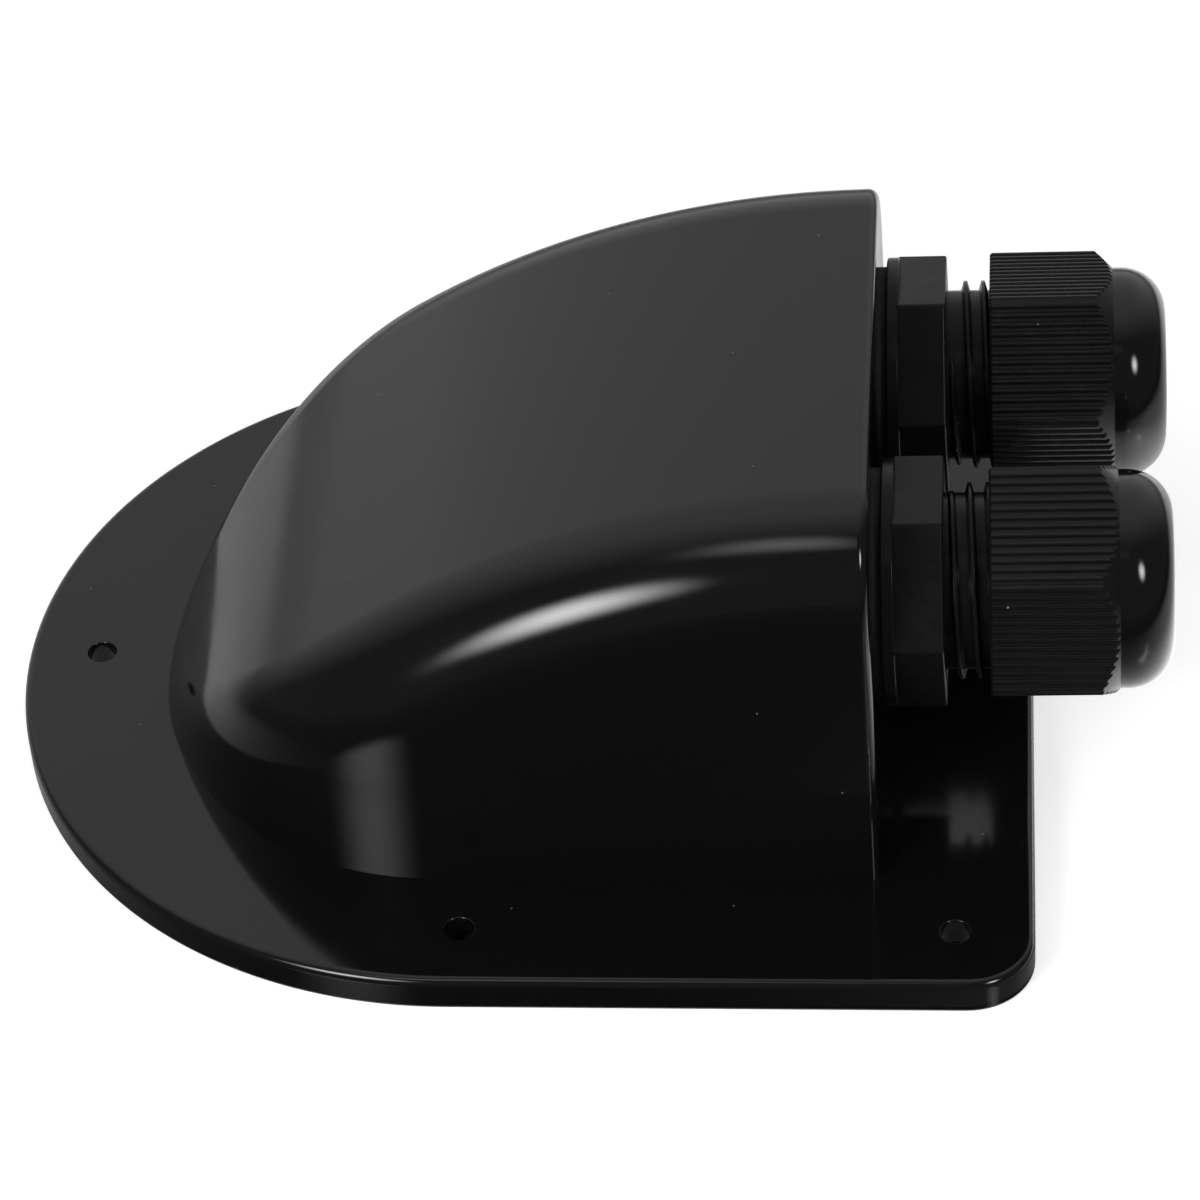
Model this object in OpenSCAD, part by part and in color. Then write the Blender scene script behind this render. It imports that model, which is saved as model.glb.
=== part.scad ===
// Roof cable entry box: a moulded dome on a D-shaped flange, with two cable glands in its rear wall.
// Millimetres. +X leaves through the glands, +Z is up, and the roof is the plane z = 0.
// The origin is the centre of the four side screw holes, on the roof.

/* [Housing] */
// Height of the dome above the roof, at the rear wall
housing_h = 50; // [44:0.5:60]
// Length of the dome's foot, from the nose to the rear wall
housing_l = 84; // [76:0.5:95]
// Room beside each gland axis, out to the dome's foot
gland_side_room = 19.5; // [18.5:0.1:24]
// Wall thickness of the dome
wall_t = 2.5; // [2:0.1:3.2]
// Radius of the long arc that the crown follows, level at the rear wall
crown_r = 100; // [92:1:130]
// Radius of the round between the crown and the walls
brow_r = 11; // [7:0.5:14]
// Lean of the side and nose walls, in degrees
side_draft = 3; // [0.5:0.1:4]
// Lean of the rear wall, in degrees
rear_draft = 1; // [0:0.1:2]
// Round along the edges of the rear wall
rear_edge_r = 1.2; // [0.5:0.1:2]

/* [Flange] */
// Thickness of the flange
flange_t = 4; // [3:0.1:6]
// Border of the flange beside the dome
side_border = 16; // [13:0.5:24]
// Border of the flange in front of the nose
nose_border = 17; // [13:0.5:24]
// Border of the flange behind the rear wall
rear_border = 17; // [13:0.5:24]
// Radius of the two rear corners
flange_corner_r = 7.5; // [4:0.5:12]
// Round along the upper edge of the flange
flange_edge_r = 1; // [0.5:0.1:1.5]

/* [Roof screws] */
// Diameter of the screw holes
screw_hole_d = 3.4; // [2.8:0.1:5]
// Distance along the roof between the middle and the rear screws
screw_pitch = 54.5; // [46:0.5:64]
// Screw axis to the side edge
screw_side_inset = 8.2; // [6:0.1:9]
// Screw axis to the rear edge
screw_rear_inset = 8.7; // [6:0.1:9]
// Screw axis to the nose edge
screw_nose_inset = 8.7; // [6:0.1:9]

/* [Glands] */
// Distance between the two gland axes
gland_pitch = 36; // [33:0.5:46]
// Gland axis to the top of the dome
gland_head_room = 19.2; // [18.5:0.1:22]
// Largest cable that the seal takes
cable_d = 12; // [10:0.1:12.5]
// Diameter of the thread through the rear wall
entry_d = 19.8; // [18:0.1:21]
// Length of that thread behind the gasket
entry_l = 10.4; // [9:0.1:13]
// Spanner size of the gland body, its lock nut and its dome nut
hex_af = 24; // [23:0.1:26]
// Length of the gland body's hexagon
hex_l = 5.3; // [4:0.1:7]
// Bevel on the corners of the hexagon
hex_bevel = 0.4; // [0.2:0.1:0.8]
// Length of the round collar behind the hexagon
collar_l = 1.45; // [1:0.05:2.5]
// Step from the hexagon's corners down to the collar
collar_step = 0.25; // [0.1:0.05:0.6]
// Thickness of the gasket under the collar
gasket_t = 0.9; // [0.6:0.1:2]
// Width of the gasket's ring
gasket_w = 2.65; // [2:0.05:3]
// Length of the threaded spigot in front of the hexagon
spigot_l = 10.8; // [10:0.1:13]
// Wall of the spigot under its thread
spigot_wall = 1; // [0.8:0.1:1.6]
// Depth of the spigot's thread
thread_depth = 1.1; // [0.7:0.1:1.3]
// Pitch of the spigot's thread
thread_pitch = 2; // [1.5:0.1:2.5]
// Thickness of the lock nut inside the dome
lock_nut_t = 5; // [4:0.1:6.5]

/* [Clamp] */
// Length of the rubber seal
seal_l = 10.5; // [8:0.1:11.5]
// Wall of the clamping claw's sleeve
claw_wall = 1.2; // [0.9:0.1:1.6]
// Length of the sleeve inside the spigot
claw_sleeve_l = 5; // [4:0.1:7]
// Thickness of the claw's rim on the spigot's mouth
claw_rim_t = 1; // [0.8:0.1:1.4]
// Room between the fingers and the nut's cone when the nut is tight
finger_gap = 0.6; // [0.5:0.1:1.5]
// Number of fingers
finger_count = 10; // [6:1:14]
// Width of the slits between the fingers
slit_w = 1; // [0.6:0.1:1.4]

/* [Dome nut] */
// Wall between the nut's thread and its flats
nut_wall = 1.14; // [0.9:0.02:1.6]
// Gap between the gland body's hexagon and the nut
nut_gap = 4.95; // [4.5:0.05:6.5]
// Length of the ribbed grip at its corners
grip_l = 12.4; // [10:0.1:15]
// Length of the smooth dome in front of the grip
nose_l = 7.5; // [6.5:0.1:9]
// Round at the end of the dome
nose_round = 5; // [3:0.1:5.4]
// Height of the ribs on the grip
rib_h = 0.35; // [0.2:0.05:0.6]
// Number of ribs on each flat
ribs_per_flat = 13; // [8:1:16]
// Hole for the cable beyond the cable's own diameter
outlet_room = 1; // [0.6:0.1:1.6]
// Length of the straight hole at the end of the nut
lip_l = 1; // [0.6:0.1:2]
// Way that the nut still has to go until it is tight
nut_travel = 4; // [3:0.1:4.4]

/* [As assembled] */
// Angle of each gland body, left then right
body_turns = [22.6, 16.2]; // [0:0.1:60]
// Angle of each dome nut, left then right
nut_turns = [48.7, 21.2]; // [0:0.1:60]

/* [Clearances] */
// Radial play of the dome nut on its thread
thread_play = 0.06; // [0.04:0.01:0.1]
// Play of the pieces that slip into one another
slip_play = 0.05; // [0.03:0.01:0.1]
// Radial room round the thread in the rear wall
wall_hole_play = 0.35; // [0.2:0.05:0.6]

/* [Hidden] */
left = -1;
right = 1;
past = 1;
sheet_t = 0.1;
rear_trim = 0.02;
least_edge_r = 0.5;
round_fn = 96;
hole_fn = 64;
edge_fn = 32;
brow_fn = 28;
rim_fn = 16;
half_face = 30;

// Plan of the dome and the flange
housing_w = gland_pitch + 2 * gland_side_room;
flange_w = housing_w + 2 * side_border;
flange_l = nose_border + housing_l + rear_border;
flange_rear_x = screw_pitch / 2 + screw_rear_inset;
flange_nose_x = flange_rear_x - flange_l;
flange_arc_x = flange_nose_x + flange_w / 2;
housing_rear_x = flange_rear_x - rear_border;
housing_arc_x = housing_rear_x - housing_l + housing_w / 2;
screw_y = flange_w / 2 - screw_side_inset;

// Crown arc, and the stations of the round that rolls along its edge
crown_axis_z = housing_h - crown_r;
side_stations = 9;
nose_stations = 22;
nose_passes = 6;
dome_foot_z = flange_t / 2;

// Gland radii, from the spanner's flats inwards; the seal fills what is left round the cable
nut_flat_r = hex_af / 2;
nut_bore_r = nut_flat_r - nut_wall;
thread_r = nut_bore_r - thread_play;
thread_core_r = thread_r - thread_depth;
spigot_bore_r = thread_core_r - spigot_wall;
claw_r = spigot_bore_r - slip_play;
claw_bore_r = claw_r - claw_wall;
seal_r = claw_bore_r - slip_play;
cable_r = cable_d / 2;
nut_corner_r = (nut_flat_r + rib_h) / cos(half_face);
outlet_r = cable_r + outlet_room / 2;
entry_r = entry_d / 2;
collar_r = hex_af / 2 / cos(half_face) - collar_step;
claw_rim_r = thread_core_r;
finger_tip_r = claw_bore_r + claw_wall / 2;

// Gland stations, measured out of the rear wall along the gland's axis
gland_z = housing_h - gland_head_room;
collar_z = gasket_t;
hex_z = collar_z + collar_l;
spigot_z = hex_z + hex_l;
hex_root = hex_l / 3;
spigot_end_z = spigot_z + spigot_l;
nut_z = spigot_z + nut_gap;
nut_l = grip_l + nose_l;
nut_cone_l = nut_bore_r - outlet_r;
nut_cone_z = nut_l - lip_l - nut_cone_l;
claw_z = spigot_end_z - claw_sleeve_l;
claw_end_z = nut_z + nut_cone_z + nut_bore_r - finger_tip_r - nut_travel - finger_gap;

plastic_gloss = [0.045, 0.045, 0.048];
plastic_satin = [0.075, 0.075, 0.078];
rubber_black = [0.03, 0.03, 0.03];
rubber_grey = [0.16, 0.16, 0.165];

// Height of the crown's arc, moved inwards by a ball of radius r
function ball_z(x, r) = crown_axis_z + sqrt(pow(crown_r - r, 2) - pow(x - housing_rear_x, 2));
// Half-width of the leaning walls at a height
function half_w(z) = housing_w / 2 - (z - flange_t) * tan(side_draft);
// Distance of the ball's centre from the dome's middle line
function ball_y(z, r) = half_w(z) - r / cos(side_draft);
// Centre of the ball at an angle round the nose, found by closing in on its own height
function nose_ball(a, r, reach, passes) =
    let (x = housing_arc_x - reach * cos(a), z = ball_z(x, r))
    passes == 0 ? [x, reach * sin(a), z] : nose_ball(a, r, ball_y(z, r), passes - 1);
// Rear wall at a height
function rear_x(z) = housing_rear_x - (z - flange_t) * tan(rear_draft);

// Centres of the ball that rounds the brow, along both sides and round the nose
side_end_x = rear_x(housing_h) - brow_r;
side_step = (side_end_x - housing_arc_x) / side_stations;
side_x = [for (i = [1 : side_stations]) housing_arc_x + i * side_step];
side_balls = [for (x = side_x, s = [left, right]) let (z = ball_z(x, brow_r)) [x, s * ball_y(z, brow_r), z]];
nose_step = 180 / nose_stations;
nose_reach = housing_w / 2 - brow_r;
nose_balls = [for (i = [0 : nose_stations]) nose_ball(i * nose_step - 90, brow_r, nose_reach, nose_passes)];
brow_balls = concat(side_balls, nose_balls);

// Places its children with +Z out of the rear wall on a gland's axis
module at_gland(side) {
    translate([rear_x(gland_z), side * gland_pitch / 2, gland_z])
        rotate([0, 90 - rear_draft, 0])
            children();
}

// Plan of the dome's foot at a height, drawn inwards by a wall
module foot_plan(z, inset) {
    r = half_w(z) - inset;
    corner = max(rear_edge_r - inset, least_edge_r);
    translate([housing_arc_x, 0])
        circle(r, $fn = round_fn);
    for (s = [left, right])
        translate([rear_x(z) - inset - corner + rear_trim, s * (r - corner)])
            circle(corner, $fn = brow_fn);
}

// Everything in front of the rear wall's plane, drawn inwards by a wall
module before_rear(inset) {
    translate([rear_x(0) - inset / cos(rear_draft), 0, 0])
        rotate([0, -rear_draft, 0])
            translate([-2 * housing_l, -housing_w, -housing_h])
                cube([2 * housing_l, 2 * housing_w, 3 * housing_h]);
}

// Solid dome, drawn inwards by a wall and reaching down to a height
module dome(inset, foot_z) {
    r = brow_r - inset;
    rear_ball_z = ball_z(rear_x(housing_h), brow_r);
    edge = max(rear_edge_r - inset, least_edge_r);
    rim_x = rear_x(rear_ball_z) - inset - edge + rear_trim;
    intersection() {
        hull() {
            for (p = brow_balls)
                translate(p)
                    sphere(r, $fn = brow_fn);
            for (s = [left, right])
                translate([rim_x, s * ball_y(rear_ball_z, brow_r), rear_ball_z])
                    rotate([0, 90 - rear_draft, 0])
                        rotate_extrude($fn = brow_fn)
                            translate([r - edge, 0])
                                circle(edge, $fn = rim_fn);
            translate([0, 0, foot_z])
                linear_extrude(sheet_t)
                    hull() foot_plan(foot_z, inset / cos(side_draft));
        }
        before_rear(inset);
    }
}

// Round plate with a rounded upper edge
module edged_disc(r, h, edge) {
    rotate_extrude($fn = round_fn) {
        square([r - edge, h]);
        square([r, h - edge]);
        translate([r - edge, h - edge])
            intersection() {
                circle(edge, $fn = edge_fn);
                square(edge);
            }
    }
}

// Straight bar along +X with both upper edges rounded
module edged_bar(l, w, h, edge) {
    rotate([90, 0, 90])
        linear_extrude(l) {
            translate([-w / 2, 0])
                square([w, h - edge]);
            translate([edge - w / 2, 0])
                square([w - 2 * edge, h]);
            for (s = [left, right])
                translate([s * (w / 2 - edge), h - edge])
                    circle(edge, $fn = edge_fn);
        }
}

// D-shaped flange, round at the nose
module flange() {
    corner_x = flange_rear_x - flange_corner_r;
    corner_y = flange_w / 2 - flange_corner_r;
    back_l = flange_rear_x - flange_arc_x;
    translate([flange_arc_x, 0, 0]) {
        edged_disc(flange_w / 2, flange_t, flange_edge_r);
        edged_bar(corner_x - flange_arc_x, flange_w, flange_t, flange_edge_r);
    }
    for (s = [left, right])
        translate([corner_x, s * corner_y, 0])
            edged_disc(flange_corner_r, flange_t, flange_edge_r);
    translate([flange_rear_x - back_l / 2, -corner_y, 0])
        rotate(90)
            edged_bar(2 * corner_y, back_l, flange_t, flange_edge_r);
}

module screw_hole(x, y) {
    translate([x, y, -past])
        cylinder(h = flange_t + 2 * past, d = screw_hole_d, $fn = hole_fn);
}

// Housing: flange and dome in one moulding, open underneath
module housing() {
    color(plastic_gloss)
        difference() {
            union() {
                flange();
                intersection() {
                    dome(0, dome_foot_z);
                    translate([flange_nose_x, -flange_w / 2, dome_foot_z])
                        cube([flange_l, flange_w, housing_h]);
                }
            }
            dome(wall_t, -past);
            for (s = [left, right]) {
                screw_hole(-screw_pitch / 2, s * screw_y);
                screw_hole(screw_pitch / 2, s * screw_y);
                at_gland(s)
                    translate([0, 0, -wall_t - past])
                        cylinder(h = wall_t + 2 * past, r = entry_r + wall_hole_play, $fn = hole_fn);
            }
            screw_hole(flange_nose_x + screw_nose_inset, 0);
        }
}

// Hexagonal prism with its corners bevelled at both ends
module bevelled_hex(af, l, bevel) {
    face_r = af / 2 / cos(half_face) - bevel;
    intersection() {
        cylinder(h = l, d = af / cos(half_face), $fn = 6);
        rotate_extrude($fn = round_fn)
            polygon([[0, 0], [face_r, 0], [face_r + l / 2, l / 2], [face_r, l], [0, l]]);
    }
}

// Spigot with its thread as ridges of the same pitch
module threaded_spigot() {
    ridge_w = thread_pitch / 2;
    tip_w = thread_pitch / 5;
    slope = (ridge_w - tip_w) / 2;
    ridge_count = floor((spigot_l - ridge_w) / thread_pitch);
    root_r = thread_core_r - spigot_wall / 2;
    translate([0, 0, -hex_root])
        cylinder(h = spigot_l + hex_root, r = thread_core_r, $fn = round_fn);
    rotate_extrude($fn = round_fn)
        for (i = [1 : ridge_count])
            translate([0, i * thread_pitch])
                polygon([[root_r, 0], [thread_core_r, 0], [thread_r, slope], [thread_r, slope + tip_w],
                    [thread_core_r, ridge_w], [root_r, ridge_w]]);
}

// Gland body: entry thread, collar, hexagon and spigot in one moulding
module gland_body(side) {
    color(plastic_satin)
        at_gland(side)
            difference() {
                union() {
                    translate([0, 0, collar_z - entry_l])
                        cylinder(h = entry_l + collar_l + hex_root, r = entry_r, $fn = round_fn);
                    translate([0, 0, collar_z])
                        cylinder(h = collar_l, r = collar_r, $fn = round_fn);
                    translate([0, 0, hex_z])
                        rotate(body_turns[side == left ? 0 : 1])
                            bevelled_hex(hex_af, hex_l, hex_bevel);
                    translate([0, 0, spigot_z])
                        threaded_spigot();
                }
                translate([0, 0, collar_z - entry_l - past])
                    cylinder(h = entry_l + spigot_end_z + past, r = outlet_r, $fn = hole_fn);
                translate([0, 0, claw_z - slip_play])
                    cylinder(h = claw_sleeve_l + slip_play + past, r = spigot_bore_r, $fn = hole_fn);
            }
}

// Gasket between the collar and the rear wall
module gasket(side) {
    color(rubber_black)
        at_gland(side)
            difference() {
                cylinder(h = gasket_t, r = entry_r + gasket_w, $fn = round_fn);
                translate([0, 0, -past])
                    cylinder(h = gasket_t + 2 * past, r = entry_r + slip_play, $fn = round_fn);
            }
}

// Lock nut against the inside of the rear wall
module lock_nut(side) {
    color(plastic_satin)
        at_gland(side)
            translate([0, 0, -wall_t - lock_nut_t])
                difference() {
                    rotate(half_face)
                        bevelled_hex(hex_af, lock_nut_t, hex_bevel);
                    translate([0, 0, -past])
                        cylinder(h = lock_nut_t + 2 * past, r = entry_r + slip_play, $fn = round_fn);
                }
}

// Clamping claw: a sleeve in the spigot, a rim on its mouth and a ring of fingers
module claw(side) {
    rim_z = claw_sleeve_l + slip_play;
    finger_z = rim_z + claw_rim_t;
    slit_z = rim_z + claw_rim_t / 2;
    tip_z = claw_end_z - claw_z;
    color(plastic_satin)
        at_gland(side)
            translate([0, 0, claw_z])
                difference() {
                    rotate_extrude($fn = round_fn)
                        polygon([[claw_bore_r, 0], [claw_r, 0], [claw_r, rim_z], [claw_rim_r, rim_z],
                            [claw_rim_r, finger_z], [finger_tip_r, tip_z], [claw_bore_r, tip_z]]);
                    for (i = [0 : finger_count - 1])
                        rotate(i * 360 / finger_count)
                            translate([claw_bore_r / 2, -slit_w / 2, slit_z])
                                cube([claw_rim_r, slit_w, tip_z - slit_z + past]);
                }
}

// Rubber seal inside the claw
module seal(side) {
    color(rubber_grey)
        at_gland(side)
            translate([0, 0, claw_z])
                difference() {
                    cylinder(h = seal_l, r = seal_r, $fn = round_fn);
                    translate([0, 0, -past])
                        cylinder(h = seal_l + 2 * past, r = cable_r, $fn = hole_fn);
                }
}

// Outline of the grip: a hexagon with upright ribs on its flats
module ribbed_hex() {
    flat_w = 2 * nut_flat_r * tan(half_face);
    pitch = flat_w / ribs_per_flat;
    foot = pitch / 5;
    top = pitch / 3;
    rib = [[0, foot], [rib_h, top], [rib_h, pitch - top], [0, pitch - foot]];
    polygon([
        for (face = [0 : 5], i = [0 : ribs_per_flat - 1], p = rib)
            let (x = nut_flat_r + p[0], y = i * pitch + p[1] - flat_w / 2, a = (2 * face + 1) * half_face)
            [x * cos(a) - y * sin(a), x * sin(a) + y * cos(a)]
    ]);
}

// Dome nut: ribbed grip and smooth round nose, hollow for the claw
module dome_nut(side) {
    nose_r = nut_flat_r;
    grip_bevel = nut_corner_r - nose_r;
    color(plastic_satin)
        at_gland(side)
            translate([0, 0, nut_z])
                difference() {
                    union() {
                        intersection() {
                            rotate(nut_turns[side == left ? 0 : 1])
                                linear_extrude(grip_l + grip_bevel)
                                    ribbed_hex();
                            rotate_extrude($fn = round_fn)
                                polygon([[0, 0], [nut_corner_r, 0], [nut_corner_r, grip_l],
                                    [nose_r, grip_l + grip_bevel], [0, grip_l + grip_bevel]]);
                        }
                        rotate_extrude($fn = round_fn) {
                            square([nose_r, nut_l - nose_round]);
                            square([nose_r - nose_round, nut_l]);
                            translate([nose_r - nose_round, nut_l - nose_round])
                                intersection() {
                                    circle(nose_round, $fn = hole_fn);
                                    square(nose_round);
                                }
                        }
                    }
                    rotate_extrude($fn = round_fn)
                        polygon([[0, -past], [nut_bore_r, -past], [nut_bore_r, nut_cone_z],
                            [outlet_r, nut_cone_z + nut_cone_l], [outlet_r, nut_l + past], [0, nut_l + past]]);
                }
}

housing();
gland_body(left);  // left_gland_body
gasket(left);  // left_gasket
lock_nut(left);  // left_lock_nut
claw(left);  // left_claw
seal(left);  // left_seal
dome_nut(left);  // left_dome_nut
gland_body(right);  // right_gland_body
gasket(right);  // right_gasket
lock_nut(right);  // right_lock_nut
claw(right);  // right_claw
seal(right);  // right_seal
dome_nut(right);  // right_dome_nut
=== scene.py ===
import math

import bpy
import numpy as np
from mathutils import Matrix, Vector
from mathutils.geometry import tessellate_polygon


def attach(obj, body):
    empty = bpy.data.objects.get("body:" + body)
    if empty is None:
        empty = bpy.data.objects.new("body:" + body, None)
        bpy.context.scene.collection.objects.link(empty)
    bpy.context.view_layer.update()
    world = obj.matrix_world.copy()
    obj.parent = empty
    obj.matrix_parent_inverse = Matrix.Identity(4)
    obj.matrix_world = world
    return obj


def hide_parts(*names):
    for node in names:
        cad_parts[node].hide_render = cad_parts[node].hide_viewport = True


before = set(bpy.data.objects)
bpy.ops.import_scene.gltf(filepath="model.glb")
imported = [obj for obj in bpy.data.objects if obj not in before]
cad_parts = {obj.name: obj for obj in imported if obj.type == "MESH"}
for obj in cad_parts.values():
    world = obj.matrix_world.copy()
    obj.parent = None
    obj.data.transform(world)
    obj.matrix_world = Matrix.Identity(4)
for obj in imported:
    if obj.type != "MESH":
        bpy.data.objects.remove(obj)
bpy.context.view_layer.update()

# Sizes are in millimetres and angles in degrees, in the part's own frame, until a mesh is made
MM = 0.001
LEFT, RIGHT = -1, 1

# Housing
HOUSING_H, HOUSING_L, HOUSING_W = 50.0, 84.4, 75.0
NOSE_DEPTH = 34.4
WALL_T = 2.5
CROWN_R, BROW_R = 100.0, 11.0
SIDE_DRAFT, REAR_DRAFT = 3.0, 1.0
REAR_EDGE_R, INNER_EDGE_R = 1.2, 0.5
HOUSING_REAR_X = 18.95
HOUSING_ARC_X = HOUSING_REAR_X - HOUSING_L + NOSE_DEPTH
NOSE_SHORT = HOUSING_W / 2 - NOSE_DEPTH
CROWN_AXIS_Z = HOUSING_H - CROWN_R
REAR_STRIP_L = 4.5

# Flange
FLANGE_T, FLANGE_W, FLANGE_L = 4.0, 107.0, 118.0
FLANGE_CORNER_R, FLANGE_EDGE_R = 7.5, 1.0
FLANGE_SOLE_R = 0.2
FLANGE_REAR_X = 35.95
FLANGE_ARC_X = FLANGE_REAR_X - FLANGE_L + FLANGE_W / 2
SCREW_R, SCREW_EDGE_R = 1.7, 0.15
SCREWS = [(-73.35, 0), (-27.25, -45.3), (-27.25, 45.3), (27.25, -45.3), (27.25, 45.3)]

# Glands, with stations measured out of the rear wall along each gland's axis
GLAND_Y, GLAND_Z = 18.0, 30.8
WALL_HOLE_R = 10.25
OUTLET_R = 6.5
ENTRY_R, ENTRY_CORE_R, ENTRY_PITCH = 9.9, 9.1, 1.5
ENTRY_Z, COLLAR_Z, HEX_Z, SPIGOT_Z, SPIGOT_END_Z = -9.5, 0.9, 2.35, 7.65, 18.45
COLLAR_R = 13.606
HEX_FLAT_R, HEX_CORNER_ROUND, HEX_EDGE_R = 12.0, 0.5, 0.3
CORE_R, CREST_R, SPIGOT_PITCH = 9.7, 10.8, 2.0
SPIGOT_BORE_R, CLAW_Z = 8.7, 13.4
SUNK = 0.2
BODY_TURN = {LEFT: 22.6, RIGHT: 16.2}
THREAD_AT_TOP = {LEFT: 0.95, RIGHT: 0.35}

# Dome nuts
NUT_Z, NUT_L, GRIP_L = 12.6, 19.9, 11.7
NUT_FLAT_R, NUT_BORE_R = 12.0, 10.86
NUT_CHAMFER, NUT_LIP_L = 0.25, 1.0
NOSE_ROUND = 5.0
RIB_H, RIBS_PER_FLAT = 0.35, 13
RIB_FOOT, RIB_TOP = 0.2, 1 / 3
RIB_STEPS = 12
NUT_CORNER_R = (NUT_FLAT_R + RIB_H) / math.cos(math.radians(30))
NUT_TURN = {LEFT: 50.6, RIGHT: 15.2}

# Mesh steps: of a profile, across the crown, and the shares of length and bend in a profile's spacing
PROFILE_STEPS, CROWN_STRIPS = 59, 16
RUN_PACE, BEND_PACE = 0.35, 10.0

# Dust: cells in a metre, and the share of them that stays clean
DUST_SCALE, CLEAN_SHARE = 330, 0.82

# Camera and lights, in metres; a direction's azimuth runs from -Y towards +X
CAMERA_AT = (0.031857, -0.415104, 0.379597)
CAMERA_RIGHT = (0.99658951, 0.0619558, -0.05450532)
CAMERA_UP = (-0.000247, 0.662753, 0.748838)
CAMERA_BACK = (0.08251842, -0.74627046, 0.66050822)
LENS, SENSOR = 144.19, 36.0
LIT_POINT = Vector((-0.005, -0.02, 0.035))

# Softboxes: azimuth, elevation and distance, half angles across and up, and radiance
SOFTBOXES = {
    "key_light": (-33, 27.5, 0.346, 17.5, 17.5, 15.5),
    "side_light": (46, 39, 0.9, 11, 13, 18),
    "top_light": (-26, 66, 0.9, 18, 12, 1.9),
}

# Glowing patches on the table, seen only in reflections: painted pools of light. Middle, half size and
# radiance
PAINTED_LIGHT_PATCHES = {
    "left_patch": ((-0.095, 0.008), (0.11, 0.085), 0.34),
    "left_back_patch": ((-0.09, 0.10), (0.17, 0.13), 0.30),
    "right_patch": ((0.11, -0.022), (0.13, 0.11), 0.75),
    "gland_patch": ((0.066, -0.006), (0.05, 0.06), 1.3),
    "back_patch": ((0.075, 0.105), (0.16, 0.14), 0.85),
    "corner_patch": ((0.061, -0.047), (0.008, 0.008), 1.3),
}
TABLE_Z, PATCH_Z, PATCH_STEP = 0.0003, 0.0005, 0.0001

UP, DOWN = np.array((0.0, 0, 1)), np.array((0.0, 0, -1))


def unit(v):
    v = np.asarray(v, float)
    return v / np.linalg.norm(v, axis=-1, keepdims=True)


def slerp(a, b, t):
    """Unit vectors from a to b along the shorter arc, at the shares t."""
    angle = math.acos(np.clip(np.dot(a, b), -1, 1))
    t = np.asarray(t)[:, None]
    return (np.sin((1 - t) * angle) * a + np.sin(t * angle) * b) / math.sin(angle)


def circle(count):
    """Directions round a full turn, with the first one again at the end."""
    a = np.linspace(0, 2 * math.pi, count + 1)
    return np.c_[np.cos(a), np.sin(a)]


def rounded(corners, radii, steps=5, closed=False):
    """Straight runs with rounded corners, as rows of point and normal. The normals point to the right."""
    corners = np.asarray(corners, float)
    count = len(corners)
    rows = []
    for i, (p, r) in enumerate(zip(corners, radii)):
        before = unit(p - corners[i - 1]) if closed or i else None
        after = unit(corners[(i + 1) % count] - p) if closed or i < count - 1 else None
        before = after if before is None else before
        after = before if after is None else after
        n0, n1 = np.array((before[1], -before[0])), np.array((after[1], -after[0]))
        bend = math.acos(np.clip(before @ after, -1, 1))
        if bend < 1e-6 or r == 0:
            rows += [np.r_[p, n0], np.r_[p, n1]]
            continue
        side = 1 if before[0] * after[1] - before[1] * after[0] > 0 else -1
        centre = p - before * r * math.tan(bend / 2) - side * r * n0
        for n in slerp(n0, n1, np.linspace(0, 1, steps + 1)):
            rows.append(np.r_[centre + side * r * n, n])
    if closed:
        rows.append(rows[0])
    return np.array(rows)


class Skin:
    """Faces with a normal at every corner. Corners in the same place on one sheet share a vertex."""

    def __init__(self):
        self.points, self.index = [], {}
        self.faces, self.normals, self.finishes = [], [], []

    def vertex(self, p):
        key = tuple(round(float(c), 4) for c in p)
        if key not in self.index:
            self.index[key] = len(self.points)
            self.points.append(key)
        return self.index[key]

    def face(self, corners, normals, finish=0):
        ids = [self.vertex(p) for p in corners]
        keep = [k for k in range(len(ids)) if ids[k] != ids[k - 1]]
        if len({ids[k] for k in keep}) < max(3, len(keep)):
            return
        p = np.array([corners[k] for k in keep])
        facing = sum(np.cross(p[k] - p[0], p[k + 1] - p[0]) for k in range(1, len(p) - 1))
        if facing @ np.sum(normals, axis=0) < 0:
            keep.reverse()
        self.faces.append([ids[k] for k in keep])
        self.normals.extend(tuple(normals[k]) for k in keep)
        self.finishes.append(finish)

    def grid(self, points, normals, finish=0):
        """A sheet from rows of points and their normals."""
        self.index.clear()
        for i in range(len(points) - 1):
            for j in range(len(points[i]) - 1):
                at = [(i, j), (i + 1, j), (i + 1, j + 1), (i, j + 1)]
                self.face([points[a][b] for a, b in at], [normals[a][b] for a, b in at], finish)

    def sweep(self, outline, outward, path, finish=0):
        """A profile of offset and height carried round an outline in plan."""
        points = [np.c_[outline + outward * r, np.full(len(outline), z)] for r, z, _, _ in path]
        normals = [np.c_[outward * nr, np.full(len(outline), nz)] for _, _, nr, nz in path]
        self.grid(points, normals, finish)

    def revolve(self, path, steps=96, finish=0):
        around = circle(steps)
        self.sweep(np.zeros_like(around), around, path, finish)

    def fill(self, loops, normal, finish=0):
        """A flat face inside the first loop, with the other loops as holes."""
        self.index.clear()
        flat = [p for loop in loops for p in loop]
        for tri in tessellate_polygon([[Vector(p) for p in loop] for loop in loops]):
            self.face([flat[k] for k in tri], [normal] * 3, finish)

    def build(self, name, materials, place=Matrix()):
        turn = np.array(place.to_3x3())
        points = np.array(self.points) @ turn.T + np.array(place.translation)
        normals = unit(np.array(self.normals) @ turn.T)
        mesh = bpy.data.meshes.new(name)
        mesh.from_pydata((points * MM).tolist(), [], self.faces)
        mesh.polygons.foreach_set("use_smooth", [True] * len(self.faces))
        mesh.polygons.foreach_set("material_index", self.finishes)
        mesh.normals_split_custom_set(normals.tolist())
        for material in materials:
            mesh.materials.append(material)
        piece = bpy.data.objects.new(name, mesh)
        bpy.context.scene.collection.objects.link(piece)
        return piece


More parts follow.
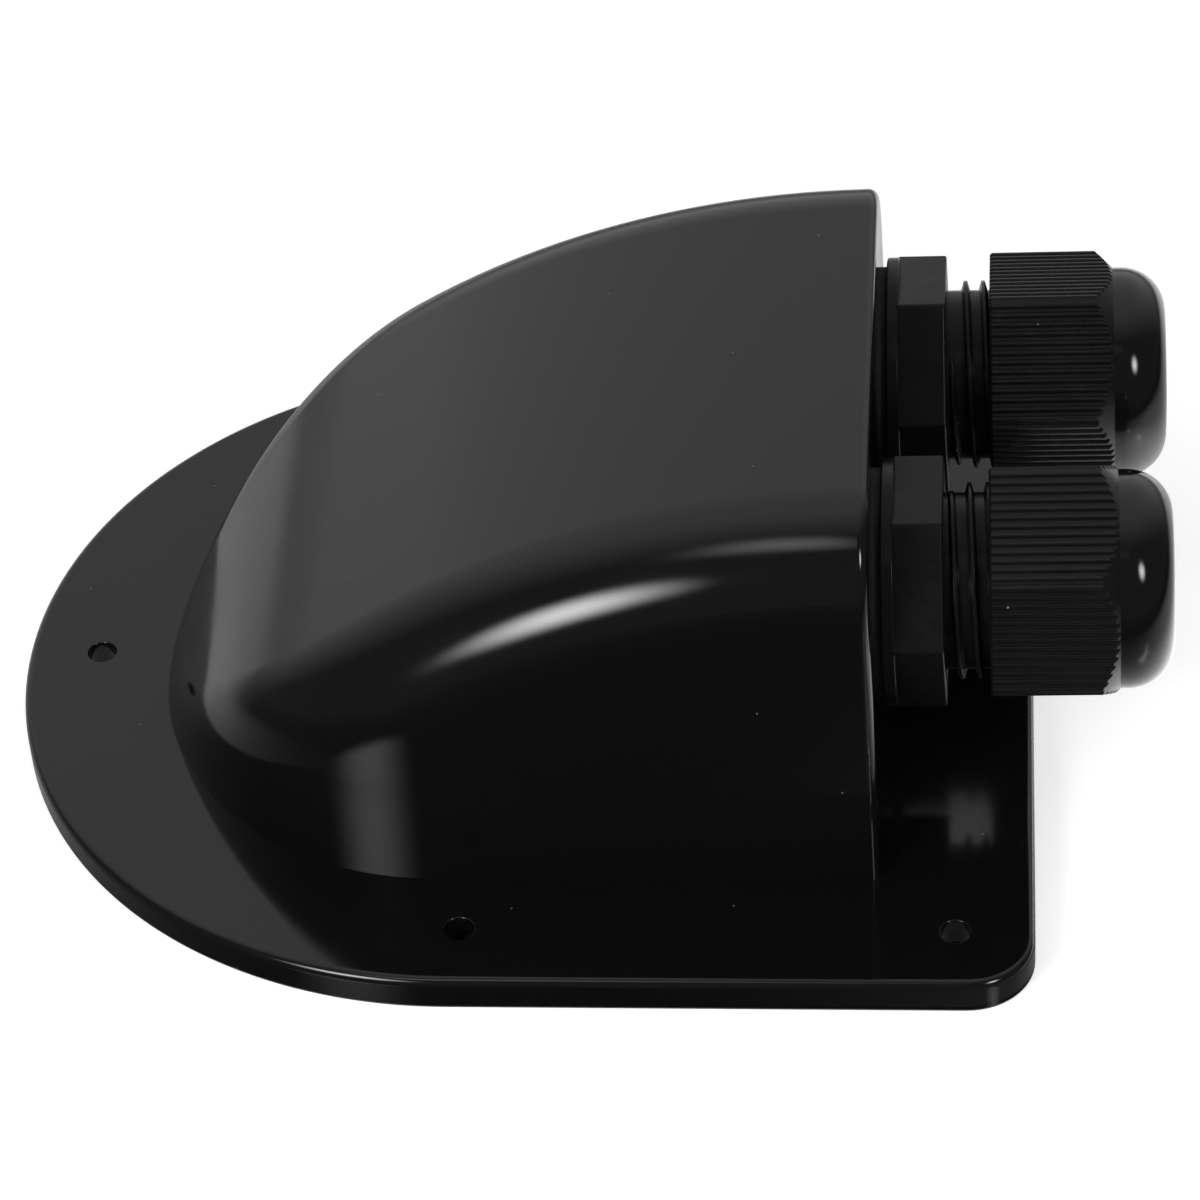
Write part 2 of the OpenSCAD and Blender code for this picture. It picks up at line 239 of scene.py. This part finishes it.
# Materials

def material(name):
    mat = bpy.data.materials.new(name)
    mat.use_nodes = True
    return mat, mat.node_tree.nodes, mat.node_tree.links


def noise(nodes, links, coords, scale, detail):
    node = nodes.new("ShaderNodeTexNoise")
    node.inputs["Scale"].default_value = scale
    node.inputs["Detail"].default_value = detail
    links.new(coords, node.inputs["Vector"])
    return node.outputs["Fac"]


def spread(nodes, links, value, low, high):
    """A value from 0.3 to 0.7 spread over a range."""
    node = nodes.new("ShaderNodeMapRange")
    for key, number in zip(("From Min", "From Max", "To Min", "To Max"), (0.3, 0.7, low, high)):
        node.inputs[key].default_value = number
    links.new(value, node.inputs["Value"])
    return node.outputs["Result"]


def moulded(name, colour, dust_colour, shine, roughness, mottle_scale, grain_scale, grain_depth, dust_size):
    """A moulded surface: mottled gloss, a fine grain, and a few specks of dust."""
    mat, nodes, links = material(name)
    shader = nodes["Principled BSDF"]
    shader.inputs["Specular IOR Level"].default_value = shine
    coords = nodes.new("ShaderNodeTexCoord").outputs["Object"]

    cells = nodes.new("ShaderNodeTexVoronoi")
    cells.inputs["Scale"].default_value = DUST_SCALE
    links.new(coords, cells.inputs["Vector"])
    small = nodes.new("ShaderNodeMath")
    small.operation = "LESS_THAN"
    small.inputs[1].default_value = dust_size
    links.new(cells.outputs["Distance"], small.inputs[0])
    chosen = nodes.new("ShaderNodeSeparateColor")
    links.new(cells.outputs["Color"], chosen.inputs["Color"])
    rare = nodes.new("ShaderNodeMath")
    rare.operation = "GREATER_THAN"
    rare.inputs[1].default_value = CLEAN_SHARE
    links.new(chosen.outputs["Red"], rare.inputs[0])
    speck = nodes.new("ShaderNodeMath")
    speck.operation = "MULTIPLY"
    links.new(small.outputs[0], speck.inputs[0])
    links.new(rare.outputs[0], speck.inputs[1])

    tint = nodes.new("ShaderNodeMix")
    tint.data_type = "RGBA"
    tint.inputs["A"].default_value = (*colour, 1)
    tint.inputs["B"].default_value = (*dust_colour, 1)
    links.new(speck.outputs[0], tint.inputs["Factor"])
    links.new(tint.outputs["Result"], shader.inputs["Base Color"])

    mottle = noise(nodes, links, coords, mottle_scale, 4)
    links.new(spread(nodes, links, mottle, *roughness), shader.inputs["Roughness"])

    bump = nodes.new("ShaderNodeBump")
    bump.inputs["Strength"].default_value = 1
    bump.inputs["Distance"].default_value = grain_depth
    links.new(noise(nodes, links, coords, grain_scale, 3), bump.inputs["Height"])
    links.new(bump.outputs["Normal"], shader.inputs["Normal"])
    return mat


gloss_black = moulded(
    "gloss_black", (0.0036, 0.0036, 0.004), (0.12, 0.12, 0.12), shine=0.5, roughness=(0.07, 0.13),
    mottle_scale=90, grain_scale=700, grain_depth=1.5e-6, dust_size=0.035)
satin_black = moulded(
    "satin_black", (0.006, 0.006, 0.0063), (0.16, 0.16, 0.15), shine=0.13, roughness=(0.20, 0.34),
    mottle_scale=260, grain_scale=2600, grain_depth=4e-6, dust_size=0.045)
grip_black = moulded(
    "grip_black", (0.006, 0.006, 0.0063), (0.16, 0.16, 0.15), shine=0.27, roughness=(0.20, 0.34),
    mottle_scale=260, grain_scale=2600, grain_depth=4e-6, dust_size=0.045)
nose_black = moulded(
    "nose_black", (0.004, 0.004, 0.0043), (0.16, 0.16, 0.15), shine=0.42, roughness=(0.06, 0.11),
    mottle_scale=200, grain_scale=1500, grain_depth=2e-6, dust_size=0.04)
rubber_black = moulded(
    "rubber_black", (0.012, 0.012, 0.012), (0.10, 0.10, 0.10), shine=0.4, roughness=(0.60, 0.80),
    mottle_scale=400, grain_scale=3000, grain_depth=8e-6, dust_size=0.04)
rubber_grey = moulded(
    "rubber_grey", (0.028, 0.028, 0.029), (0.14, 0.14, 0.14), shine=0.4, roughness=(0.55, 0.75),
    mottle_scale=400, grain_scale=3000, grain_depth=8e-6, dust_size=0.04)


# Housing

def rear_x(z):
    return HOUSING_REAR_X - (z - FLANGE_T) * math.tan(math.radians(REAR_DRAFT))


def ball_z(x):
    """Height of the centre of the ball that rounds the brow."""
    return CROWN_AXIS_Z + math.sqrt((CROWN_R - BROW_R) ** 2 - (x - HOUSING_REAR_X) ** 2)


def ball_y(z):
    draft = math.radians(SIDE_DRAFT)
    return HOUSING_W / 2 - (z - FLANGE_T) * math.tan(draft) - BROW_R / math.cos(draft)


def side_ball(x, side):
    z = ball_z(x)
    return np.array((x, side * ball_y(z), z)), np.array((0.0, side))


def nose_ball(angle):
    """The ball's centre at an angle round the nose's ellipse, and the direction out of the wall there."""
    reach, rounds = HOUSING_W / 2 - BROW_R, 40
    for _ in range(rounds):
        x = HOUSING_ARC_X - (reach - NOSE_SHORT) * math.cos(angle)
        reach = ball_y(ball_z(x))
    out = unit((-reach * math.cos(angle), (reach - NOSE_SHORT) * math.sin(angle)))
    return np.array((x, reach * math.sin(angle), ball_z(x))), out


def dome_profile(centre, out, inset):
    """Points and normals from the crown over the brow and down the wall, to below the foot."""
    draft = math.radians(SIDE_DRAFT)
    top = unit((centre[0] - HOUSING_REAR_X, 0, centre[2] - CROWN_AXIS_Z))
    wall = np.r_[out * math.cos(draft), math.sin(draft)]
    normals = slerp(top, wall, np.linspace(0, 1, PROFILE_STEPS + 1))
    points = centre + (BROW_R - inset) * normals
    down = np.r_[out * math.sin(draft), -math.cos(draft)]
    drop = np.linspace(0, HOUSING_H, PROFILE_STEPS + 1)[1:, None]
    points = np.vstack([points, points[-1] + down * drop])
    return points, np.vstack([normals, np.tile(wall, (len(drop), 1))])


def cut_at(points, normals, z):
    """The profile down to a height, ending exactly there."""
    k = int(np.argmax(points[:, 2] < z))
    t = (points[k - 1, 2] - z) / (points[k - 1, 2] - points[k, 2])
    end = points[k - 1] + t * (points[k] - points[k - 1])
    turn = unit(normals[k - 1] + t * (normals[k] - normals[k - 1]))
    return np.vstack([points[:k], end]), np.vstack([normals[:k], turn])


def spaced(points, normals, count):
    """The profile as a number of points, closer where it bends."""
    run = np.linalg.norm(np.diff(points, axis=0), axis=1)
    bend = np.linalg.norm(np.diff(normals, axis=0), axis=1)
    pace = np.r_[0, np.cumsum(RUN_PACE * run + BEND_PACE * bend)]
    at = np.linspace(0, pace[-1], count)

    def pick(values):
        return np.column_stack([np.interp(at, pace, values[:, c]) for c in range(3)])

    return pick(points), unit(pick(normals))


def dome_rows(inset, foot_z, edge_r, edge_steps, side_count, nose_count, count):
    """Rows of the dome's skin from the left rear edge round the nose to the right rear edge."""
    rows = []

    def add(points, normals):
        rows.append(spaced(*cut_at(points, normals, foot_z), count))

    lean = math.radians(REAR_DRAFT)
    rear = np.array((math.cos(lean), 0, math.sin(lean)))

    def add_rear(side, turns):
        profile = dome_profile(*side_ball(HOUSING_REAR_X, side), inset)
        points, normals = spaced(*cut_at(*profile, foot_z), count)
        last_z = points[:, 2] - edge_r * normals[:, 2]
        plane_x = np.array([rear_x(z) for z in last_z]) - inset / math.cos(lean)
        for turn in turns:
            moved = points - edge_r * (1 - math.cos(turn)) * normals
            moved[:, 0] = plane_x - edge_r * (1 - math.sin(turn))
            moved[-1, 2] = foot_z
            rows.append((moved, unit(normals * math.cos(turn) + rear * math.sin(turn))))

    turns = np.linspace(math.pi / 2, 0, edge_steps + 1)
    side_x = np.linspace(HOUSING_REAR_X - inset - REAR_STRIP_L, HOUSING_ARC_X, side_count)
    add_rear(LEFT, turns)
    for x in side_x:
        add(*dome_profile(*side_ball(x, LEFT), inset))
    for angle in np.linspace(-math.pi / 2, math.pi / 2, nose_count)[1:-1]:
        add(*dome_profile(*nose_ball(angle), inset))
    for x in side_x[::-1]:
        add(*dome_profile(*side_ball(x, RIGHT), inset))
    add_rear(RIGHT, turns[::-1])
    return [r[0] for r in rows], [r[1] for r in rows]


def ring(centre, radius, z, count=48):
    return [(*(np.array(centre) + radius * d), z) for d in circle(count)[:-1]]


def gland_ring(side, station, count=64):
    """The hole round a gland's axis, in the plane of the rear wall."""
    place = gland_place(side)
    return [np.array(place @ Vector((*(WALL_HOLE_R * d), station))) for d in circle(count)[:-1]]


def gland_place(side):
    turn = Matrix.Rotation(math.radians(90 - REAR_DRAFT), 4, "Y")
    return Matrix.Translation((rear_x(GLAND_Z), side * GLAND_Y, GLAND_Z)) @ turn


def add_dome(skin, points, normals, flip, station):
    """The lateral skin, the crown between its two halves, and the rear wall with its two holes."""
    sign = -1 if flip else 1
    skin.grid(points, [sign * n for n in normals])
    count = len(points)
    share = np.linspace(0, 1, CROWN_STRIPS + 1)[:, None]
    crown, crown_n = [], []
    for i in range(count // 2 + 1):
        a, b = points[i][0], points[count - 1 - i][0]
        crown.append(a + share * (b - a))
        crown_n.append(np.tile(sign * normals[i][0], (len(share), 1)))
    skin.grid(crown, crown_n)
    lean = math.radians(REAR_DRAFT)
    rear = sign * np.array((math.cos(lean), 0, math.sin(lean)))
    outline = [*points[0][::-1], *crown[0][1:-1], *points[-1]]
    skin.fill([outline] + [gland_ring(s, station) for s in (LEFT, RIGHT)], rear)


def flange_outline():
    """Plan of the flange's edge and its outward directions, from the right rear corner round the nose."""
    corner_x = FLANGE_REAR_X - FLANGE_CORNER_R
    corner_y = FLANGE_W / 2 - FLANGE_CORNER_R
    arcs = [
        (FLANGE_ARC_X, 0, FLANGE_W / 2, np.linspace(90, 270, 121)),
        (corner_x, -corner_y, FLANGE_CORNER_R, np.linspace(270, 360, 15)),
        (corner_x, corner_y, FLANGE_CORNER_R, np.linspace(0, 90, 15)),
    ]
    outward = [np.c_[np.cos(np.radians(a)), np.sin(np.radians(a))] for _, _, _, a in arcs]
    outline = [np.array((x, y)) + r * d for (x, y, r, _), d in zip(arcs, outward)]
    outline, outward = np.vstack(outline), np.vstack(outward)
    return np.vstack([outline, outline[:1]]), np.vstack([outward, outward[:1]])


def make_housing():
    skin = Skin()
    outer, outer_n = dome_rows(
        inset=0, foot_z=FLANGE_T, edge_r=REAR_EDGE_R, edge_steps=5, side_count=22, nose_count=91, count=34)
    add_dome(skin, outer, outer_n, flip=False, station=0)
    inner, inner_n = dome_rows(
        inset=WALL_T, foot_z=0, edge_r=INNER_EDGE_R, edge_steps=3, side_count=10, nose_count=41, count=18)
    add_dome(skin, inner, inner_n, flip=True, station=-WALL_T)
    for side in (LEFT, RIGHT):
        front, back = gland_ring(side, 0), gland_ring(side, -WALL_T)
        middle = np.mean(front, axis=0)
        facing = [unit(middle - p) for p in front]
        skin.grid([[*loop, loop[0]] for loop in (front, back)], [[*facing, facing[0]]] * 2)

    outline, outward = flange_outline()
    edge = rounded(
        [(-FLANGE_EDGE_R, 0), (0, 0), (0, FLANGE_T), (-FLANGE_EDGE_R, FLANGE_T)],
        [0, FLANGE_SOLE_R, FLANGE_EDGE_R, 0], 7)
    skin.sweep(outline, outward, edge)
    rim = outline[:-1] - outward[:-1] * FLANGE_EDGE_R
    top_rim = [(*p, FLANGE_T) for p in rim]
    sole_rim = [(*p, 0.0) for p in rim]
    top_holes = [ring(c, SCREW_R + SCREW_EDGE_R, FLANGE_T) for c in SCREWS]
    sole_holes = [ring(c, SCREW_R, 0.0) for c in SCREWS]
    skin.fill([top_rim, [row[-1] for row in outer], *top_holes], UP)
    skin.fill([sole_rim, [row[-1] for row in inner], *sole_holes], DOWN)
    hole = [(SCREW_R + 1, FLANGE_T), (SCREW_R, FLANGE_T), (SCREW_R, 0)]
    hole = rounded(hole, [0, SCREW_EDGE_R, 0], 4)[2:]
    around = circle(48)
    for centre in SCREWS:
        skin.sweep(np.tile(centre, (len(around), 1)), around, hole)
    return skin.build("housing_shell", [gloss_black])


# Glands

def helix(skin, core_r, crest_r, pitch, start, end, at_top, ramp):
    """A thread's ridge from one station to another, growing out of the core and sinking into it again."""
    root, tip = 0.5, 0.2
    foot_r = core_r - 0.15
    least = 0.12 / (crest_r - core_r)
    profile = [
        (foot_r, -root), (core_r, -root), (crest_r, -tip),
        (crest_r, tip), (core_r, root), (foot_r, root)]
    shape = rounded(np.array(profile) * (1, pitch / 2), [0, 0.12, 0.14, 0.14, 0.12, 0], 3)
    turns = np.arange(start - at_top, end - at_top, pitch / 72) / pitch
    points, normals = [], []
    for t in turns:
        a = math.pi + 2 * math.pi * t
        z = at_top + t * pitch
        height = min(1, (z - start) / ramp, (end - z) / ramp)
        radial = np.array((math.cos(a), math.sin(a), 0))
        r = foot_r + (shape[:, 0] - foot_r) * (least + height * (1 - least))
        points.append(radial * r[:, None] + UP * (z + shape[:, 1])[:, None])
        normals.append(radial * shape[:, 2:3] + UP * shape[:, 3:4])
    skin.grid(points, normals)


def make_gland_body(side, name):
    skin = Skin()
    entry = [
        (OUTLET_R, ENTRY_Z), (ENTRY_CORE_R, ENTRY_Z), (ENTRY_CORE_R, COLLAR_Z),
        (COLLAR_R, COLLAR_Z), (COLLAR_R, HEX_Z), (OUTLET_R, HEX_Z)]
    skin.revolve(rounded(entry, [0.2, 0.4, 0, 0.25, 0.2, 0], 4))
    helix(
        skin, ENTRY_CORE_R, ENTRY_R, ENTRY_PITCH,
        start=ENTRY_Z + 0.4, end=COLLAR_Z, at_top=0, ramp=0.6)

    corners = [HEX_FLAT_R / math.cos(math.radians(30)) * np.array((math.cos(a), math.sin(a)))
               for a in np.radians(BODY_TURN[side] + 60 * np.arange(6))]
    plan = rounded(corners, [HEX_CORNER_ROUND] * 6, 5, closed=True)
    outline, outward = plan[:, :2], plan[:, 2:]
    low, high = HEX_Z - SUNK, SPIGOT_Z
    edge = [(-HEX_EDGE_R, low), (0, low), (0, high), (-HEX_EDGE_R, high)]
    skin.sweep(outline, outward, rounded(edge, [0, 0.15, HEX_EDGE_R, 0], 5))
    cap = outline[:-1] - outward[:-1] * HEX_EDGE_R
    skin.fill([[(*p, high) for p in cap], ring((0, 0), CORE_R - SUNK, high)], UP)
    skin.fill([[(*p, low) for p in cap], ring((0, 0), OUTLET_R, low)], DOWN)

    spigot = [
        (OUTLET_R, SPIGOT_Z - SUNK), (CORE_R, SPIGOT_Z - SUNK), (CORE_R, SPIGOT_END_Z),
        (SPIGOT_BORE_R, SPIGOT_END_Z), (SPIGOT_BORE_R, CLAW_Z), (OUTLET_R, CLAW_Z), (OUTLET_R, ENTRY_Z)]
    skin.revolve(rounded(spigot, [0, 0, 0.3, 0.2, 0, 0.2, 0], 4))
    helix(
        skin, CORE_R, CREST_R, SPIGOT_PITCH,
        start=SPIGOT_Z + 0.55, end=SPIGOT_END_Z - 0.5, at_top=SPIGOT_Z + THREAD_AT_TOP[side], ramp=0.9)
    return skin.build(name, [satin_black], gland_place(side))


def ribbed_outline(turn):
    """Plan of the grip: a hexagon whose flats carry upright ribs with soft edges. Points, then normals."""
    flat_w = 2 * NUT_FLAT_R * math.tan(math.radians(30))
    share = np.arange(RIBS_PER_FLAT * RIB_STEPS) / RIB_STEPS
    near = 0.5 - np.abs(share % 1 - 0.5)
    rise = np.clip((near - RIB_FOOT) / (RIB_TOP - RIB_FOOT), 0, 1)
    height = RIB_H * rise * rise * (3 - 2 * rise)
    across = (share / RIBS_PER_FLAT - 0.5) * flat_w
    points = []
    for face in range(6):
        a = math.radians(turn + 30 + 60 * face)
        out, along = np.array((math.cos(a), math.sin(a))), np.array((-math.sin(a), math.cos(a)))
        points.append(np.outer(NUT_FLAT_R + height, out) + np.outer(across, along))
    points = np.vstack(points)
    chord = np.roll(points, -1, axis=0) - np.roll(points, 1, axis=0)
    normals = unit(np.c_[chord[:, 1], -chord[:, 0]])
    return np.vstack([points, points[:1]]), np.vstack([normals, normals[:1]])


def make_dome_nut(side, name):
    """Ribbed grip with a bevelled end, and a smooth round nose."""
    skin = Skin()
    satin, gloss = 0, 1
    outline, outward = ribbed_outline(NUT_TURN[side])
    reach = np.linalg.norm(outline, axis=1)
    radial = outline / reach[:, None]
    bevel_l = NUT_CORNER_R - NUT_FLAT_R
    bevel_z = GRIP_L + NUT_CORNER_R - reach
    flat_n = np.c_[outward, np.zeros(len(outline))]
    slope = math.sqrt(0.5)
    chamfer_n = np.c_[outward * slope, np.full(len(outline), -slope)]
    cone_n = np.c_[radial * slope, np.full(len(outline), slope)]
    foot = outline - radial * NUT_CHAMFER

    def lift(plan, z):
        return np.c_[plan, np.broadcast_to(z, len(plan))]

    skin.grid([lift(foot, 0), lift(outline, NUT_CHAMFER)], [chamfer_n] * 2, satin)
    skin.grid([lift(outline, NUT_CHAMFER), lift(outline, bevel_z)], [flat_n] * 2, satin)
    skin.grid([lift(outline, bevel_z), lift(radial * NUT_FLAT_R, GRIP_L + bevel_l)], [cone_n] * 2, satin)
    mouth_r = NUT_BORE_R + NUT_CHAMFER
    skin.fill([[(*p, 0.0) for p in foot[:-1]], ring((0, 0), mouth_r, 0.0, 96)], DOWN, satin)

    cone_l = NUT_BORE_R - OUTLET_R
    lip_z = NUT_L - NUT_LIP_L
    nose = [(NUT_FLAT_R, GRIP_L + bevel_l), (NUT_FLAT_R, NUT_L), (OUTLET_R, NUT_L), (OUTLET_R, lip_z)]
    bore = [(OUTLET_R, lip_z), (NUT_BORE_R, lip_z - cone_l), (NUT_BORE_R, NUT_CHAMFER), (mouth_r, 0)]
    skin.revolve(rounded(nose, [0, NOSE_ROUND, 0.35, 0], 14), 128, gloss)
    skin.revolve(rounded(bore, [0] * 4), 96, satin)
    place = gland_place(side) @ Matrix.Translation((0, 0, NUT_Z))
    return skin.build(name, [grip_black, nose_black], place)


# The part

housing = make_housing()
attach(housing, "box")
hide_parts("housing")

for side, word in ((LEFT, "left"), (RIGHT, "right")):
    body = make_gland_body(side, word + "_threaded_body")
    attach(body, "box")
    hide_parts(word + "_gland_body")
    nut = make_dome_nut(side, word + "_ribbed_nut")
    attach(nut, word + "_nut")
    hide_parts(word + "_dome_nut")

FINISHES = {"gasket": rubber_black, "lock_nut": satin_black, "claw": satin_black, "seal": rubber_grey}
for name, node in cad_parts.items():
    for ending, finish in FINISHES.items():
        if name.endswith(ending):
            for slot in node.material_slots:
                slot.material = finish


# Floor, light and camera

def direction(azimuth, elevation):
    a, e = math.radians(azimuth), math.radians(elevation)
    return Vector((math.sin(a) * math.cos(e), -math.cos(a) * math.cos(e), math.sin(e)))


def seen_directly(nodes, links):
    """1 for camera, mirror and glass rays, 0 for the rays that carry light."""
    path = nodes.new("ShaderNodeLightPath")
    value = path.outputs["Is Camera Ray"]
    for other in ("Is Glossy Ray", "Is Transmission Ray"):
        join = nodes.new("ShaderNodeMath")
        join.operation = "MAXIMUM"
        links.new(value, join.inputs[0])
        links.new(path.outputs[other], join.inputs[1])
        value = join.outputs[0]
    return value


def make_world(light):
    world = bpy.data.worlds.new("studio")
    bpy.context.scene.world = world
    world.use_nodes = True
    nodes, links = world.node_tree.nodes, world.node_tree.links
    strength = nodes.new("ShaderNodeMapRange")
    strength.inputs["To Min"].default_value = light
    strength.inputs["To Max"].default_value = 1
    links.new(seen_directly(nodes, links), strength.inputs["Value"])
    nodes["Background"].inputs["Color"].default_value = (1, 1, 1, 1)
    links.new(strength.outputs["Result"], nodes["Background"].inputs["Strength"])


def make_floor(glow):
    mat, nodes, links = material("pale_floor")
    shader = nodes["Principled BSDF"]
    shader.inputs["Base Color"].default_value = (0.8, 0.8, 0.8, 1)
    shader.inputs["Roughness"].default_value = 1
    shader.inputs["Specular IOR Level"].default_value = 0
    shader.inputs["Emission Color"].default_value = (1, 1, 1, 1)
    lift = nodes.new("ShaderNodeMath")
    lift.operation = "MULTIPLY"
    lift.inputs[1].default_value = glow
    links.new(seen_directly(nodes, links), lift.inputs[0])
    links.new(lift.outputs[0], shader.inputs["Emission Strength"])
    bpy.ops.mesh.primitive_plane_add(size=8, location=(0, 0, -0.0001))
    floor = bpy.context.object
    floor.name = "floor"
    floor.data.materials.append(mat)


def only_mirrored(card, name, mat):
    """A studio surface that shows in reflections only."""
    card.name = name
    card.data.materials.append(mat)
    for kind in ("camera", "diffuse", "transmission", "volume_scatter", "shadow"):
        setattr(card, "visible_" + kind, False)


def flat_card(name, half_x, half_y):
    corners = [(-half_x, -half_y, 0), (half_x, -half_y, 0), (half_x, half_y, 0), (-half_x, half_y, 0)]
    mesh = bpy.data.meshes.new(name)
    mesh.from_pydata(corners, [], [(0, 1, 2, 3)])
    card = bpy.data.objects.new(name, mesh)
    bpy.context.scene.collection.objects.link(card)
    return card


def polished_black(name):
    mat, nodes, _ = material(name)
    shader = nodes["Principled BSDF"]
    shader.inputs["Base Color"].default_value = (0, 0, 0, 1)
    shader.inputs["Roughness"].default_value = 0.06
    return mat


def plain_glow(name):
    """A material with nothing but a white glow."""
    mat, nodes, links = material(name)
    nodes.remove(nodes["Principled BSDF"])
    shader = nodes.new("ShaderNodeEmission")
    links.new(shader.outputs[0], nodes["Material Output"].inputs["Surface"])
    return mat, nodes, links, shader


def sloping_glow(name, base, slope, least, most):
    """A glow that grows along a direction."""
    mat, nodes, links, shader = plain_glow(name)
    along = nodes.new("ShaderNodeVectorMath")
    along.operation = "DOT_PRODUCT"
    along.inputs[1].default_value = slope
    lift = nodes.new("ShaderNodeMath")
    lift.operation = "ADD"
    lift.inputs[1].default_value = base
    clamp = nodes.new("ShaderNodeClamp")
    clamp.inputs["Min"].default_value = least
    clamp.inputs["Max"].default_value = most
    links.new(nodes.new("ShaderNodeTexCoord").outputs["Object"], along.inputs[0])
    links.new(along.outputs["Value"], lift.inputs[0])
    links.new(lift.outputs[0], clamp.inputs["Value"])
    links.new(clamp.outputs["Result"], shader.inputs["Strength"])
    return mat


def soft_glow(name, half_width, half_height, radiance):
    """A see-through glow that fades from the middle of a card to its edges."""
    mat, nodes, links, shader = plain_glow(name)
    share = nodes.new("ShaderNodeVectorMath")
    share.operation = "MULTIPLY"
    share.inputs[1].default_value = (1 / half_width, 1 / half_height, 0)
    square = nodes.new("ShaderNodeVectorMath")
    square.operation = "DOT_PRODUCT"
    fade = nodes.new("ShaderNodeMapRange")
    fade.inputs["To Min"].default_value = 1
    fade.inputs["To Max"].default_value = 0
    power = nodes.new("ShaderNodeMath")
    power.operation = "POWER"
    power.inputs[1].default_value = 3
    level = nodes.new("ShaderNodeMath")
    level.operation = "MULTIPLY"
    level.inputs[1].default_value = radiance
    links.new(nodes.new("ShaderNodeTexCoord").outputs["Object"], share.inputs[0])
    for k in (0, 1):
        links.new(share.outputs["Vector"], square.inputs[k])
    links.new(square.outputs["Value"], fade.inputs["Value"])
    links.new(fade.outputs["Result"], power.inputs[0])
    links.new(power.outputs[0], level.inputs[0])
    links.new(level.outputs[0], shader.inputs["Strength"])

    both = nodes.new("ShaderNodeAddShader")
    links.new(shader.outputs[0], both.inputs[0])
    links.new(nodes.new("ShaderNodeBsdfTransparent").outputs[0], both.inputs[1])
    links.new(both.outputs[0], nodes["Material Output"].inputs["Surface"])
    return mat


def make_tent():
    """What the gloss mirrors: a tent that is bright behind, and a polished dark table with glowing patches,
    which are painted pools of light.
    """
    bpy.ops.mesh.primitive_uv_sphere_add(radius=1.6, segments=64, ring_count=32)
    light = sloping_glow("tent", base=-0.325, slope=(-0.07, 0.625, 0.48), least=0.1, most=0.66)
    only_mirrored(bpy.context.object, "tent", light)
    table = flat_card("table", 1.5, 1.5)
    table.location = (0, 0, TABLE_Z)
    only_mirrored(table, "table", polished_black("table"))
    # The patches glow only for reflections, as painted pools of light on the table
    for k, (name, (middle, half_size, radiance)) in enumerate(PAINTED_LIGHT_PATCHES.items()):
        patch = flat_card(name, *half_size)
        patch.location = (*middle, PATCH_Z + PATCH_STEP * k)
        only_mirrored(patch, name, soft_glow(name, *half_size, radiance))


def softbox(name, azimuth, elevation, distance, half_width, half_height, radiance):
    """A lamp for its light, and a card with fading edges for its reflection. The half sizes are angles."""
    way = direction(azimuth, elevation)
    turn = way.to_track_quat("Z", "Y").to_matrix().to_4x4()
    place = Matrix.Translation(LIT_POINT + way * distance) @ turn
    half_w, half_h = (distance * math.tan(math.radians(a)) for a in (half_width, half_height))
    card = flat_card(name + "_card", half_w, half_h)
    card.matrix_world = place
    only_mirrored(card, name + "_card", soft_glow(name, half_w, half_h, radiance))

    lamp = bpy.data.lights.new(name, "AREA")
    lamp.shape = "RECTANGLE"
    lamp.size, lamp.size_y = half_w, half_h
    lamp.energy = radiance * math.pi * half_w * half_h
    lamp_object = bpy.data.objects.new(name, lamp)
    lamp_object.matrix_world = place
    lamp_object.visible_glossy = False
    bpy.context.scene.collection.objects.link(lamp_object)


def make_camera():
    lens = bpy.data.cameras.new("camera")
    lens.lens, lens.sensor_width = LENS, SENSOR
    camera = bpy.data.objects.new("camera", lens)
    place = Matrix((CAMERA_RIGHT, CAMERA_UP, CAMERA_BACK)).transposed().to_4x4()
    place.translation = CAMERA_AT
    camera.matrix_world = place
    bpy.context.scene.collection.objects.link(camera)
    bpy.context.scene.camera = camera


make_world(light=0.5)
make_floor(glow=0.5)
make_tent()
for name, values in SOFTBOXES.items():
    softbox(name, *values)
make_camera()
bpy.context.scene.view_settings.view_transform = "Standard"
